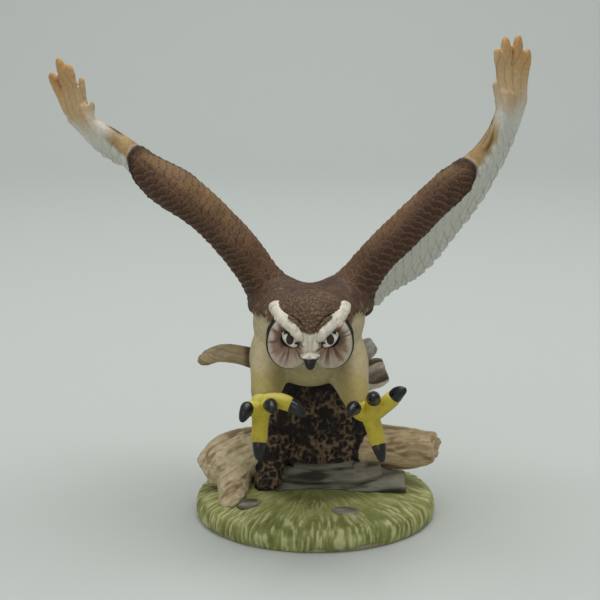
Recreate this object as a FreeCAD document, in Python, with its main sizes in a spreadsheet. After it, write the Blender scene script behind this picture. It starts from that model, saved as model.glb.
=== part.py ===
import FreeCAD, Part
import math
import os

# Bisque porcelain owl, coming in to land on a weathered stump with its wings raised.
#
# Frame: X to the owl's left, Y towards its tail (the owl faces -Y), Z up. The origin is the
# centre of the flat underside of the oval grass base. Lengths are in millimetres.
#
# The owl is made as such figurines are: hollow slip-cast castings (base, trunk, body and head)
# and solid pressed pieces (wings, feathers, legs, feet, claws, branches and stones), which are
# luted together face to face before firing. One vent path runs from the hole in the underside
# through the base, the trunk and the body into the head, so that the kiln can't burst it.

V = FreeCAD.Vector
doc = FreeCAD.newDocument("owl_figurine")

# ---------------------------------------------------------------- driving dimensions

DIMENSIONS = (
    ("base_width", 88.0, "grass base, left to right"),
    ("base_depth", 82.0, "grass base, front to back"),
    ("base_edge", 7.6, "height of the base's rounded edge"),
    ("base_crown", 12.0, "height of the mound at its middle"),
    ("base_wall", 3.5, "wall of the base casting"),
    ("vent_radius", 1.6, "vent hole in the underside"),
    ("vent_back", 9.0, "vent hole, distance behind the origin"),
    ("trunk_half_width", 20.0, "trunk at its foot"),
    ("trunk_half_depth", 10.5, "trunk at its foot"),
    ("trunk_back", 9.0, "trunk axis, distance behind the origin"),
    ("trunk_top", 60.0, "top of the trunk, inside the belly"),
    ("cast_wall", 3.5, "wall of the trunk, body and head castings"),
    ("duct_radius", 4.0, "passages between the castings"),
    ("body_middle", -2.2, "the owl's mid-plane, X"),
    ("body_half_width", 20.5, "body at the shoulders"),
    ("body_half_height", 18.5, "body at the shoulders"),
    ("body_axis", 71.5, "body axis, height above the table"),
    ("cape_thickness", 1.4, "brown feather layer over the back"),
    ("head_half_width", 15.2, "head, across"),
    ("head_half_depth", 15.5, "head, front to back"),
    ("head_half_height", 13.0, "head, top to bottom"),
    ("head_front", 24.5, "head centre, distance in front of the origin"),
    ("head_axis", 76.0, "head centre, height above the table"),
    ("eye_half_width", 2.6, "eye, across"),
    ("eye_half_height", 2.3, "eye, top to bottom"),
    ("eye_spacing", 13.6, "between the eyes' centres"),
    ("wing_edge", 0.8, "half the thickness of a wing's trailing edge"),
    ("primary_half_width", 2.5, "primary feather, across its blade"),
    ("primary_half_thick", 0.9, "primary feather, through its blade"),
    ("toe_radius", 2.5, "toe at the palm"),
    ("claw_radius", 1.9, "claw at its root"),
    ("claw_length", 5.5, "claw, along its curve"),
)

sheet = doc.addObject("Spreadsheet::Sheet", "sizes")
for row, (alias, value, meaning) in enumerate(DIMENSIONS, start=1):
    sheet.set("A%d" % row, meaning)
    sheet.set("B%d" % row, str(value))
    sheet.setAlias("B%d" % row, alias)
doc.recompute()


def size(alias):
    """A driving dimension, in millimetres."""
    return float(sheet.get(alias))


MIDDLE = size("body_middle")

# ---------------------------------------------------------------- building blocks

nodes = {}


def keep(name, thing):
    """Name a finished sub-part: its label becomes its file's name."""
    thing.Label = name
    nodes[name] = thing
    return thing


def closed_curve(points):
    """A smooth closed wire through the points."""
    curve = Part.BSplineCurve()
    curve.interpolate(Points=points, PeriodicFlag=True)
    return Part.Wire([curve.toShape()])


def oval(centre, across, up, count=12):
    """A closed oval whose half axes are the vectors across and up."""
    turns = [2 * math.pi * step / count for step in range(count)]
    return closed_curve([centre + across * math.cos(turn) + up * math.sin(turn) for turn in turns])


def loft_shape(rings):
    """The closed solid that passes through the rings."""
    solid = Part.makeLoft(rings, True, False)
    if solid.Volume < 0:
        solid.reverse()
    return solid


def feature(name, shape):
    """A document object holding a shape that no primitive or sketch gives."""
    thing = doc.addObject("Part::Feature", name)
    thing.Shape = shape
    return thing


def limb_shape(stations, end_scale=0.45):
    """A rounded limb along stations (x, y, z, radius) or (x, y, z, radius, flatness).

    Flatness is the limb's half height over its half width. Both ends are rounded off by one
    smaller ring a little further out.
    """
    centres = [V(*station[:3]) for station in stations]
    radii = [station[3] for station in stations]
    flats = [station[4] if len(station) > 4 else 1.0 for station in stations]
    first_way = (centres[0] - centres[1]).normalize()
    last_way = (centres[-1] - centres[-2]).normalize()
    centres = ([centres[0] + first_way * radii[0] * 0.55] + centres
               + [centres[-1] + last_way * radii[-1] * 0.55])
    radii = [radii[0] * end_scale] + radii + [radii[-1] * end_scale]
    flats = [flats[0]] + flats + [flats[-1]]
    rings = []
    for index, centre in enumerate(centres):
        before = centres[max(index - 1, 0)]
        after = centres[min(index + 1, len(centres) - 1)]
        way = (after - before).normalize()
        across = way.cross(V(0, 0, 1))
        if across.Length < 0.3:
            across = V(1, 0, 0) - way * way.x
        across = across.normalize()
        if across.x < 0:
            across = across * -1
        up = across.cross(way).normalize()
        if up.dot(V(0, -0.3, 1)) < 0:
            up = up * -1
        rings.append(oval(centre, across * radii[index], up * radii[index] * flats[index]))
    return loft_shape(rings)


def limb(name, stations, end_scale=0.45):
    return feature(name, limb_shape(stations, end_scale))


def cut(name, base, *tools):
    """Take the tools away from base, one Part::Cut for each."""
    result = base
    for number, tool in enumerate(tools, start=1):
        step = doc.addObject("Part::Cut", "%s_cut_%d" % (name, number))
        step.Base = result
        step.Tool = tool
        result = step
    return result


def fuse(name, *parts):
    joined = doc.addObject("Part::MultiFuse", name)
    joined.Shapes = list(parts)
    return joined


def ellipsoid(name, x_size, y_size, z_size, placement):
    """Part's ellipsoid: Radius1 is along its Z, Radius2 along its X and Radius3 along its Y."""
    ball = doc.addObject("Part::Ellipsoid", name)
    for prop, source in (("Radius1", z_size), ("Radius2", x_size), ("Radius3", y_size)):
        if isinstance(source, str):
            ball.setExpression(prop, source)
        else:
            setattr(ball, prop, source)
    ball.Placement = placement
    return ball


def duct(name, x, y, low, high, radius="sizes.duct_radius"):
    """A vertical passage between two castings."""
    bore = doc.addObject("Part::Cylinder", name)
    bore.setExpression("Radius", radius)
    bore.Height = high - low
    bore.Placement = FreeCAD.Placement(V(x, y, low), FreeCAD.Rotation())
    return bore


# ---------------------------------------------------------------- grass base

BASE_FOOT = 0.965     # the edge tucks in at the table
BASE_SKIRT = 1.0      # the turned shape starts this far below the table, and is cut off flat there
BASE_LIP = 0.97       # and again where it turns over into the grass


def mound_shape(inset):
    """The oval mound, or its cavity when inset is the wall's thickness."""
    radius = size("base_width") / 2 - inset
    low = inset if inset else -BASE_SKIRT
    edge = size("base_edge") - inset * 0.6
    crown = size("base_crown") - inset
    side = Part.Arc(V(radius * BASE_FOOT, 0, low), V(radius, 0, (low + edge) / 2),
                    V(radius * BASE_LIP, 0, edge))
    top = Part.BSplineCurve()
    top.interpolate([V(radius * BASE_LIP, 0, edge), V(radius * 0.6, 0, crown * 0.94), V(0, 0, crown)])
    outline = Part.Wire([Part.LineSegment(V(0, 0, low), V(radius * BASE_FOOT, 0, low)).toShape(),
                         side.toShape(),
                         top.toShape(),
                         Part.LineSegment(V(0, 0, crown), V(0, 0, low)).toShape()])
    turned = Part.Face(outline).revolve(V(0, 0, 0), V(0, 0, 1), 360)
    squash = FreeCAD.Matrix()
    squash.scale(V(1, (size("base_depth") / 2 - inset) / radius, 1))
    return turned.transformGeometry(squash)


table_top = doc.addObject("Part::Box", "table_top")
table_top.setExpression("Length", "sizes.base_width * 1.2")
table_top.setExpression("Width", "sizes.base_width * 1.2")
table_top.Height = 2 * BASE_SKIRT
table_top.Placement = FreeCAD.Placement(
    V(-size("base_width") * 0.6, -size("base_width") * 0.6, -2 * BASE_SKIRT), FreeCAD.Rotation())
mound = cut("mound", feature("mound_round", mound_shape(0)), table_top)
mound_cavity = feature("mound_cavity", mound_shape(size("base_wall")))
vent = duct("vent", 0, size("vent_back"), -1, size("base_wall") + 1, "sizes.vent_radius")
trunk_duct = duct("trunk_duct", MIDDLE, size("trunk_back"), size("base_edge") - 1,
                  size("base_crown") + 6)
base = cut("base", mound, mound_cavity, vent, trunk_duct)
keep("base_mound", base)

# ---------------------------------------------------------------- trunk and its wood

# Rings from the foot to the top: height as a share of trunk_top, then the ring's centre and
# half sizes as shares of the trunk's own half width and half depth.
TRUNK_RINGS = (
    # height, sideways, backwards, half width, half depth
    (0.14, 0.00, 0.00, 1.08, 1.15),
    (0.24, 0.00, 0.00, 1.02, 1.05),
    (0.42, 0.02, -0.10, 1.00, 1.00),
    (0.62, 0.00, -0.15, 0.94, 0.98),
    (0.82, -0.08, -0.10, 0.78, 0.92),
    (1.00, -0.12, 0.00, 0.52, 0.78),
)


def trunk_shape(inset):
    rings = []
    for height, sideways, backwards, half_width, half_depth in TRUNK_RINGS:
        centre = V(size("trunk_half_width") * sideways,
                   size("trunk_back") + size("trunk_half_depth") * backwards,
                   size("trunk_top") * height)
        across = V(size("trunk_half_width") * half_width - inset, 0, 0)
        along = V(0, size("trunk_half_depth") * half_depth - inset, 0)
        rings.append(oval(centre, across, along))
    return loft_shape(rings)


trunk_skin = feature("trunk_skin", trunk_shape(0))
trunk_cavity = feature("trunk_cavity", trunk_shape(size("cast_wall")))

log_solid = limb("log_solid", ((12, 11, 23, 8.6), (24, 9, 22.5, 8.2), (34, 6.5, 22.3, 7.8),
                               (40.5, 4.5, 23, 6.4)), 0.72)
root_arm = limb("root_arm", ((-14, 9, 21, 9.5), (-24, 5, 21, 9.6), (-32, 2, 20, 9.2),
                             (-37.5, 1, 17, 7.6)), 0.7)
root_toe = limb("root_toe", ((-30, -2, 15, 6.5), (-30, -10, 12, 5.0), (-30, -17.5, 9, 3.2)))
root_solid = fuse("root_solid", root_arm, root_toe)

branch_solid = limb("branch_solid", ((-9, 13, 50, 5.0), (-22, 14.5, 54.5, 4.0),
                                     (-32, 14.5, 56.8, 3.5), (-39.5, 14, 55.6, 2.9),
                                     (-42.6, 14, 53.6, 1.9)))
stub_solid = limb("stub_solid", ((8, 12, 44, 5.5), (16, 14, 47, 5.8), (23.5, 14.5, 49.6, 5.6)), 0.8)
stub_hollow = limb("stub_hollow", ((19.6, 11.6, 48.6, 3.2), (24, 10.5, 50.5, 3.6),
                                   (29, 9, 52.5, 3.6)), 0.6)
knob_solid = limb("knob_solid", ((10, 20, 50, 4.6), (17, 21, 55, 4.4), (20.8, 21.5, 57.6, 3.6)), 0.7)

# ---------------------------------------------------------------- rock ledge and stones


def slab(name, outline, low, high, tilt, about):
    """A flat stone: an outline in plan, raised from low to high and tipped up at the back."""
    body = doc.addObject("PartDesign::Body", name)
    sketch = body.newObject("Sketcher::SketchObject", name + "_outline")
    plane = [item for item in body.Origin.OriginFeatures if item.Role == "XY_Plane"][0]
    sketch.AttachmentSupport = [(plane, "")]
    sketch.MapMode = "FlatFace"
    corners = [V(x, y, 0) for x, y in outline]
    for start, end in zip(corners, corners[1:] + corners[:1]):
        sketch.addGeometry(Part.LineSegment(start, end), False)
    pad = body.newObject("PartDesign::Pad", name + "_pad")
    pad.Profile = sketch
    pad.Length = high - low
    turn = FreeCAD.Rotation(V(1, 0, 0), tilt)
    body.Placement = FreeCAD.Placement(V(0, 0, low), turn, V(0, about, 0))
    return body


LEDGE_TILT = 16
LEDGE_FRONT = -12
lower_slab = slab("lower_slab", ((-19, -9), (-10, -12.5), (6, -12), (20, -11), (33, -8), (33, 2),
                                 (22, 6), (-4, 6), (-17, 2)), 7.5, 12.2, LEDGE_TILT, LEDGE_FRONT)
middle_slab = slab("middle_slab", ((-14, -6), (-2, -9), (16, -8.5), (25, -4), (24, 4), (-10, 5)),
                   11, 14.6, LEDGE_TILT, LEDGE_FRONT)
upper_slab = slab("upper_slab", ((-8, -2), (2, -4), (14, -3), (14, 4), (-6, 4)),
                  13.6, 16.6, LEDGE_TILT, LEDGE_FRONT)
ledge_solid = fuse("ledge_solid", lower_slab, middle_slab, upper_slab)

stone_side_solid = ellipsoid("stone_side_solid", 5.2, 3.8, 3.2,
                             FreeCAD.Placement(V(-23.3, -20.0, 8.9), FreeCAD.Rotation(12, 0, 6)))
stone_front_solid = ellipsoid("stone_front_solid", 7.2, 4.0, 2.6,
                              FreeCAD.Placement(V(9.6, -26.5, 8.9), FreeCAD.Rotation(4, 0, 8)))

# ---------------------------------------------------------------- body, head and tail

# Rings from the breast to the rump: distance behind the origin, height off the body axis, then
# the half width and half height as shares of those at the shoulders.
BODY_RINGS = (
    # back, rise, half width, half height
    (-27.0, -6.0, 0.34, 0.34),
    (-24.0, -4.5, 0.62, 0.62),
    (-17.0, -1.6, 0.88, 0.88),
    (-6.0, 0.0, 1.00, 1.00),
    (6.0, 0.0, 0.97, 0.98),
    (16.0, -1.5, 0.80, 0.82),
    (25.0, -5.0, 0.55, 0.56),
    (31.0, -8.0, 0.30, 0.30),
)


def body_shape(inset):
    rings = []
    for back, rise, half_width, half_height in BODY_RINGS:
        centre = V(MIDDLE, back * (1 - inset / 30), size("body_axis") + rise)
        across = V(size("body_half_width") * half_width - inset * min(1, half_width * 1.6), 0, 0)
        up = V(0, 0, size("body_half_height") * half_height - inset * min(1, half_height * 1.6))
        rings.append(oval(centre, across, up))
    return loft_shape(rings)


def head_ball(name, inset):
    ball = ellipsoid(name, "sizes.head_half_width - %g" % inset,
                     "sizes.head_half_depth - %g" % inset,
                     "sizes.head_half_height - %g" % inset,
                     FreeCAD.Placement(V(MIDDLE, -size("head_front"), size("head_axis")),
                                       FreeCAD.Rotation(0, 0, 12)))
    return ball


body_skin = feature("body_skin", body_shape(0))
body_cavity = feature("body_cavity", body_shape(size("cast_wall")))
head_skin = head_ball("head_skin", 0)
head_cavity = head_ball("head_cavity", size("cast_wall"))
neck_duct = doc.addObject("Part::Cylinder", "neck_duct")
neck_duct.setExpression("Radius", "sizes.duct_radius")
neck_duct.Height = 16
neck_duct.Placement = FreeCAD.Placement(V(MIDDLE, -30, size("head_axis")),
                                        FreeCAD.Rotation(V(1, 0, 0), -90))
belly_duct = duct("belly_duct", MIDDLE, size("trunk_back"), size("trunk_top") - 9,
                  size("trunk_top") + 6)
torso = keep("torso", cut("torso", body_skin, body_cavity, neck_duct, belly_duct))

# The cape of brown feathers: a layer over the top of the body, from the nape to the rump.
cape_layer = feature("cape_layer", body_shape(-size("cape_thickness")))
cape_region = doc.addObject("Part::Box", "cape_region")
cape_region.Length = 2 * size("body_half_width")
cape_region.Width = 60
cape_region.Height = size("body_half_height")
cape_region.Placement = FreeCAD.Placement(
    V(MIDDLE - size("body_half_width"), -21, size("body_axis") + 7), FreeCAD.Rotation(0, 0, -10))
cape_solid = doc.addObject("Part::Common", "cape_solid")
cape_solid.Base = cape_layer
cape_solid.Tool = cape_region

TAIL_RINGS = (
    # back, height above the table, half width, half thickness
    (22.0, 66.0, 7.0, 4.0),
    (31.0, 60.0, 10.5, 2.9),
    (41.0, 52.0, 13.5, 2.0),
    (49.0, 45.0, 15.0, 1.3),
)
tail_up = V(0, 0.77, 0.64)
tail_solid = feature("tail_solid", loft_shape(
    [oval(V(MIDDLE, back, height), V(half_width, 0, 0), tail_up * half_thick)
     for back, height, half_width, half_thick in TAIL_RINGS]))

# ---------------------------------------------------------------- face

def mirrored(stations):
    """The same stations on the other side of the owl's mid-plane."""
    return tuple((2 * MIDDLE - station[0],) + tuple(station[1:]) for station in stations)


BROW_LEFT = (
    # from above the beak to the ear tuft's tip
    (MIDDLE + 2.7, -39.2, 75.0, 1.4, 0.9),
    (MIDDLE + 4.8, -38.0, 78.0, 2.2, 0.8),
    (MIDDLE + 9.4, -33.2, 82.0, 2.9, 0.7),
    (MIDDLE + 12.6, -26.5, 84.4, 2.2, 0.7),
    (MIDDLE + 13.8, -21.6, 84.8, 1.2, 0.8),
)
FACE_LEAN = 24        # each eye and disc turns this far out to its own side, in degrees; the
# left ones turn half round as well, so that each ellipsoid's seam lies next to the beak
eyes = {}
discs = {}
brows = {}
for side, sign, brow_line in (("left", 1, BROW_LEFT), ("right", -1, mirrored(BROW_LEFT))):
    lean = FreeCAD.Rotation(V(0, 0, 1), -FACE_LEAN if sign < 0 else FACE_LEAN + 180)
    eyes[side] = ellipsoid("eye_%s_ball" % side, "sizes.eye_half_width", 2.4, "sizes.eye_half_height",
                           FreeCAD.Placement(V(MIDDLE + sign * size("eye_spacing") / 2, -37.0, 75.6),
                                             lean))
    discs[side] = ellipsoid("disc_%s_dish" % side, 7.9, 3.2, 10.4,
                            FreeCAD.Placement(V(MIDDLE + sign * 7.7, -34.9, 72.9), lean))
    brows[side] = limb("brow_%s_tuft" % side, brow_line)
beak = limb("beak_hook", ((MIDDLE, -39.4, 71.0, 1.9), (MIDDLE, -42.2, 70.2, 1.7),
                          (MIDDLE, -44.0, 68.4, 1.0), (MIDDLE, -44.4, 67.0, 0.5)))
keep("beak", beak)
for side in ("left", "right"):
    keep("eye_" + side, eyes[side])
    keep("brow_" + side, cut("brow_" + side, brows[side], eyes[side]))
for side in ("left", "right"):
    keep("face_disc_" + side, cut("disc_" + side, discs[side], eyes[side], beak, brows[side]))
head = cut("head", head_skin, head_cavity, eyes["left"], eyes["right"], beak, discs["left"],
           discs["right"], brows["left"], brows["right"], body_skin, neck_duct)
keep("head", head)

# ---------------------------------------------------------------- wings

# Each wing is a thick rounded leading edge that thins to a blade. A station gives the centre
# of the leading edge's roll, the roll's radius and the point that the trailing edge reaches.
WING_LEFT = (
    ((12, 6, 78), 7.0, (18, 30, 62)),
    ((18.5, 6, 90.5), 6.6, (29, 36, 72)),
    ((26.8, 6, 100.0), 6.4, (41, 37, 84)),
    ((37.0, 6, 110.4), 6.2, (51, 36, 96.5)),
    ((46.8, 6, 119.8), 6.0, (59.5, 34, 108)),
    ((55.6, 6, 127.6), 5.0, (66.0, 31, 119.5)),
    ((62.4, 7, 136.8), 3.4, (70.5, 28, 131)),
    ((65.6, 8, 146.9), 2.1, (74.6, 25, 142.3)),
    ((67.0, 9, 154.5), 1.6, (77.0, 23, 153)),
)
WING_RIGHT = (
    ((-13, 6, 77), 7.0, (-19, 30, 62)),
    ((-21.5, 6, 90.5), 6.6, (-21, 38, 80)),
    ((-31.0, 6, 103.0), 6.6, (-29, 40, 96)),
    ((-44.0, 6, 115.4), 7.0, (-42, 40, 113)),
    ((-51.0, 6, 120.4), 7.3, (-50, 39, 118)),
    ((-57.6, 6, 125.0), 6.2, (-58, 36, 121)),
    ((-67.0, 6, 133.2), 4.4, (-71.0, 31, 126)),
    ((-77.4, 7, 141.8), 2.7, (-84.0, 27, 136)),
    ((-83.3, 8, 149.9), 1.8, (-92.5, 24, 146.0)),
)
NOSE_TURNS = (-90, -50, 0, 50, 90)
BLADE_STEPS = (0.2, 0.45, 0.75, 1.0)


def wing_ring(roll, radius, trailing, along):
    """A teardrop section: a round nose at the leading edge and a blade to the trailing edge."""
    chord = trailing - roll
    chord = chord - along * chord.dot(along)
    length = chord.Length
    back = chord.normalize()
    upper = along.cross(back).normalize()
    points = []
    for turn in NOSE_TURNS:
        angle = math.radians(turn)
        points.append(roll - back * radius * math.cos(angle) + upper * radius * math.sin(angle))
    edge = size("wing_edge")

    def half_thickness(share):
        return edge + (radius - edge) * (1 - share) ** 2 * (1 + 0.6 * share)

    for share in BLADE_STEPS:
        points.append(roll + back * length * share + upper * half_thickness(share))
    for share in reversed(BLADE_STEPS):
        points.append(roll + back * length * share - upper * half_thickness(share))
    return closed_curve(points)


def wing_shape(stations):
    rolls = [V(*station[0]) for station in stations]
    rings = []
    for index, (roll, radius, trailing) in enumerate(stations):
        before = rolls[max(index - 1, 0)]
        after = rolls[min(index + 1, len(rolls) - 1)]
        rings.append(wing_ring(V(*roll), radius, V(*trailing), (after - before).normalize()))
    return loft_shape(rings)


# The primaries spread like fingers beyond the wing's end: the root and the tip of each. Each
# one is a flat blade that lies in the plane of the wing's end.
FINGERS_LEFT = (
    ((65.4, 8.0, 147.4), (62.6, 5.0, 158.4)),
    ((66.6, 9.0, 149.0), (63.6, 8.0, 169.4)),
    ((69.2, 12.6, 149.5), (67.0, 12.0, 173.0)),
    ((72.2, 16.6, 149.5), (72.2, 16.0, 173.6)),
    ((75.0, 20.6, 149.0), (76.2, 20.0, 168.4)),
)
FINGERS_RIGHT = (
    ((-79.4, 6.0, 142.5), (-78.8, 5.0, 151.4)),
    ((-81.8, 9.4, 145.0), (-83.0, 8.6, 159.4)),
    ((-84.6, 13.0, 146.0), (-88.2, 12.6, 163.6)),
    ((-87.2, 17.0, 146.0), (-92.2, 16.8, 165.4)),
    ((-89.8, 21.0, 144.5), (-95.8, 21.0, 159.8)),
)
# Along a primary: share of its length, then of its half width and half thickness.
FINGER_RINGS = (
    (0.00, 0.90, 0.80),
    (0.40, 1.00, 1.00),
    (0.75, 0.96, 1.00),
    (0.93, 0.70, 0.85),
    (1.00, 0.25, 0.40),
)


def finger_shape(root, tip, chord):
    """One primary: a flat blade with a rounded tip that bows slightly backwards."""
    start = V(*root)
    way = V(*tip) - start
    wide = (chord - way * (chord.dot(way) / way.dot(way))).normalize()
    thin = way.cross(wide).normalize()
    half_width = size("primary_half_width") * min(1, way.Length / 18)
    rings = []
    for share, width, thickness in FINGER_RINGS:
        centre = start + way * share + V(0, 0.8, 0) * math.sin(math.pi * share)
        rings.append(oval(centre, wide * half_width * width,
                          thin * size("primary_half_thick") * thickness))
    return loft_shape(rings)


wing_solids = {}
for side, stations, fingers in (("left", WING_LEFT, FINGERS_LEFT),
                                ("right", WING_RIGHT, FINGERS_RIGHT)):
    wing_solids[side] = feature("wing_%s_solid" % side, wing_shape(stations))
    end_roll, end_radius, end_trailing = stations[-1]
    end_chord = V(*end_trailing) - V(*end_roll)
    keep("wing_" + side, cut("wing_" + side, wing_solids[side], body_skin, head_skin))
    feathers = [feature("finger_%s_%d" % (side, number), finger_shape(root, tip, end_chord))
                for number, (root, tip) in enumerate(fingers, start=1)]
    keep("primaries_" + side, cut("primaries_" + side, fuse("fan_" + side, *feathers),
                                  wing_solids[side]))

keep("mantle", cut("mantle", cape_solid, body_skin, head_skin, wing_solids["left"],
                   wing_solids["right"]))
keep("tail", cut("tail", tail_solid, body_skin, cape_solid))

# ---------------------------------------------------------------- legs, feet and claws

THIGHS = {
    "left": ((9, -6, 63, 9.5), (13, -18, 59.5, 9.2), (15, -28, 54, 6.6), (16.6, -34.5, 50.6, 4.2)),
    "right": ((-13, -6, 65, 9.5), (-16, -18, 61.5, 8.6), (-17.6, -28, 56, 6.0),
              (-18.4, -34.5, 52.6, 4.0)),
}
PALMS = {"left": (18.0, -38.5, 49.6), "right": (-18.8, -38.5, 51.2)}
# Each foot has three toes spread forwards and a hind toe that hangs down: the toe's bend and
# its end, from which the claw carries on to the claw's own tip.
TOES = {
    "left": (
        ((14.6, -41.5, 51.4), (12.8, -43.6, 53.4), (11.6, -47.0, 53.2)),
        ((18.6, -42.0, 53.0), (19.0, -43.4, 56.2), (18.8, -46.6, 57.6)),
        ((23.0, -41.0, 53.6), (26.2, -41.6, 56.8), (28.0, -43.6, 58.8)),
        ((19.8, -40.0, 44.0), (21.0, -40.8, 39.6), (21.9, -42.6, 35.8)),
    ),
    "right": (
        ((-21.4, -42.0, 52.6), (-23.0, -43.0, 53.4), (-24.4, -46.0, 51.0)),
        ((-16.8, -42.4, 53.2), (-15.6, -43.8, 54.4), (-15.0, -47.4, 54.2)),
        ((-12.6, -42.0, 55.4), (-8.6, -42.0, 54.0), (-6.0, -43.6, 52.2)),
        ((-19.2, -40.0, 44.6), (-19.4, -40.6, 40.4), (-19.6, -42.0, 36.4)),
    ),
}
thigh_solids = {}
foot_solids = {}
for side in ("left", "right"):
    palm = PALMS[side]
    toe = size("toe_radius")
    ankle = THIGHS[side][-1]
    pieces = [limb("ankle_" + side, ((ankle[0], ankle[1] + 1.5, ankle[2] + 0.6, toe * 1.15),
                                     palm + (toe * 1.15,)))]
    claws = []
    for number, (bend, end, point) in enumerate(TOES[side], start=1):
        line = (palm + (toe,), bend + (toe * 0.98,), end + (toe * 0.82,))
        pieces.append(limb("toe_%s_%d" % (side, number), line))
        reach = V(*point) - V(*end)
        reach = reach * (size("claw_length") / reach.Length)
        tip = V(*end) + reach
        middle = V(*end) + reach * 0.5 + V(0, -0.3, 0.5)
        root = size("claw_radius")
        hook = (end + (root,), (middle.x, middle.y, middle.z, root * 0.85),
                (tip.x, tip.y, tip.z, root * 0.3))
        claws.append(limb("claw_%s_%d" % (side, number), hook))
    thigh_solids[side] = limb("thigh_%s_solid" % side, THIGHS[side])
    claw_set = fuse("claw_set_" + side, *claws)
    foot_solids[side] = fuse("foot_%s_solid" % side, *pieces)
    keep("claws_" + side, claw_set)
    keep("thigh_" + side, cut("thigh_" + side, thigh_solids[side], body_skin))
    keep("foot_" + side, cut("foot_" + side, foot_solids[side], thigh_solids[side], claw_set))

# ---------------------------------------------------------------- ground pieces, fitted together

keep("trunk", cut("trunk", trunk_skin, trunk_cavity, mound, body_skin, thigh_solids["left"],
                  thigh_solids["right"], trunk_duct))
trunk_clear = (body_skin, mound, trunk_skin)
keep("log", cut("log", log_solid, *trunk_clear))
keep("root", cut("root", root_solid, *trunk_clear))
keep("branch_right", cut("branch_right", branch_solid, *trunk_clear))
keep("branch_stub", cut("branch_stub", stub_solid, stub_hollow, *trunk_clear, thigh_solids["left"]))
keep("branch_knob", cut("branch_knob", knob_solid, *trunk_clear, stub_solid))
keep("rock_ledge", cut("rock_ledge", ledge_solid, mound, trunk_skin, root_solid, log_solid))
keep("stone_side", cut("stone_side", stone_side_solid, mound, root_solid))
keep("stone_front", cut("stone_front", stone_front_solid, mound))

# ---------------------------------------------------------------- check and write

doc.recompute()
failed = [thing for thing in doc.Objects if "Invalid" in thing.State or "Error" in thing.State]
for thing in failed:
    print("%s (%s) did not build: %s" % (thing.Label, thing.Name, thing.getStatusString()))
if failed:
    raise RuntimeError("%d objects did not build" % len(failed))
for name, thing in nodes.items():
    shape = thing.Shape
    if shape.isNull() or not shape.isValid() or shape.Volume <= 0:
        raise RuntimeError("%s has no valid shape" % name)

os.makedirs("parts", exist_ok=True)
for name, thing in nodes.items():
    thing.Shape.exportStep("parts/%s.step" % name)
    print("%-16s %9.1f mm3, %d solids" % (name, thing.Shape.Volume, len(thing.Shape.Solids)))
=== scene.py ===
"""Hand-painted bisque porcelain owl: the looks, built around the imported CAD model.

Every piece starts from the CAD solid that it stands for. The solid is turned into fine clay (an even
mesh, in millimetres), the clay is carved (feathers, bark, grass, grain) and painted, and the result is
written back in metres in the row's frame. Left and right are the owl's own: its left is +X.
"""
import math
import bmesh
import bpy
import numpy as np
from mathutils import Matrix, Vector
from mathutils.bvhtree import BVHTree


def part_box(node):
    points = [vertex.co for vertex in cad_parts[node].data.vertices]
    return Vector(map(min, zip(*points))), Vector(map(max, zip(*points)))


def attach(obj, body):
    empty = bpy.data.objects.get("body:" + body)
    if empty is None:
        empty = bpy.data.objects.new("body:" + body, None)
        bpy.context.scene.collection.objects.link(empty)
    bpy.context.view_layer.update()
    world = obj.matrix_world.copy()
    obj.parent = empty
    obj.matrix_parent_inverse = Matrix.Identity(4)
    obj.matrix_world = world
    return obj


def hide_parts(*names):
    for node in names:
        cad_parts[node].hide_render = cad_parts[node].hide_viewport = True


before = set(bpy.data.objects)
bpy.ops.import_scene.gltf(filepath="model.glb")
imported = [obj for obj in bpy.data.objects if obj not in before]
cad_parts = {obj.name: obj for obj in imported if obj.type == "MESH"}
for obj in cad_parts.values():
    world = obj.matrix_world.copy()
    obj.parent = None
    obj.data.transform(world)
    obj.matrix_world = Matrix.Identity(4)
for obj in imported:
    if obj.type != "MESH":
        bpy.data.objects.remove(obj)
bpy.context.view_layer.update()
MM = 1000.0


# ------------------------------------------------------------------ small mathematics

def bump(value, width, middle=0.0):
    """A soft bell: 1 where the value is in the middle, falling off within the width."""
    return np.exp(-((value - middle) / width) ** 2)


def ramp(value, low, high):
    """0 below low, 1 above high, smooth between; low may be above high."""
    share = np.clip((value - low) / (high - low), 0, 1)
    return share * share * (3 - 2 * share)


def mix(first, second, share):
    """Colours or numbers, blended point by point."""
    first, second = np.asarray(first, float), np.asarray(second, float)
    share = np.clip(np.asarray(share, float), 0, 1)
    return first + (second - first) * (share[:, None] if share.ndim else share)


def rgb(red, green, blue):
    """A colour chosen on a screen (0 to 255), as the linear colour a shader works in."""
    values = np.array([red, green, blue]) / 255
    return np.where(values <= 0.04045, values / 12.92, ((values + 0.055) / 1.055) ** 2.4)


def dice(x, y, z, seed):
    """A repeatable random number from 0 to 1 for each whole-numbered cell."""
    mixed = (x * 374761393 + y * 668265263 + z * 1440662683 + seed * 974634777) & 0xFFFFFFFF
    mixed = ((mixed ^ (mixed >> 13)) * 1274126177) & 0xFFFFFFFF
    mixed = mixed ^ (mixed >> 16)
    return (mixed & 0xFFFFFF) / 0xFFFFFF


def noise(points, scale, seed=0):
    """Smooth noise from -1 to 1; scale is the size of a blob, one number or one for each axis."""
    spot = points / np.asarray(scale, float)
    cell = np.floor(spot).astype(np.int64)
    part = spot - cell
    part = part * part * (3 - 2 * part)
    total = np.zeros(len(points))
    for corner in range(8):
        dx, dy, dz = corner & 1, (corner >> 1) & 1, corner >> 2
        weight = ((part[:, 0] if dx else 1 - part[:, 0]) * (part[:, 1] if dy else 1 - part[:, 1])
                  * (part[:, 2] if dz else 1 - part[:, 2]))
        total += weight * dice(cell[:, 0] + dx, cell[:, 1] + dy, cell[:, 2] + dz, seed)
    return total * 2 - 1


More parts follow.
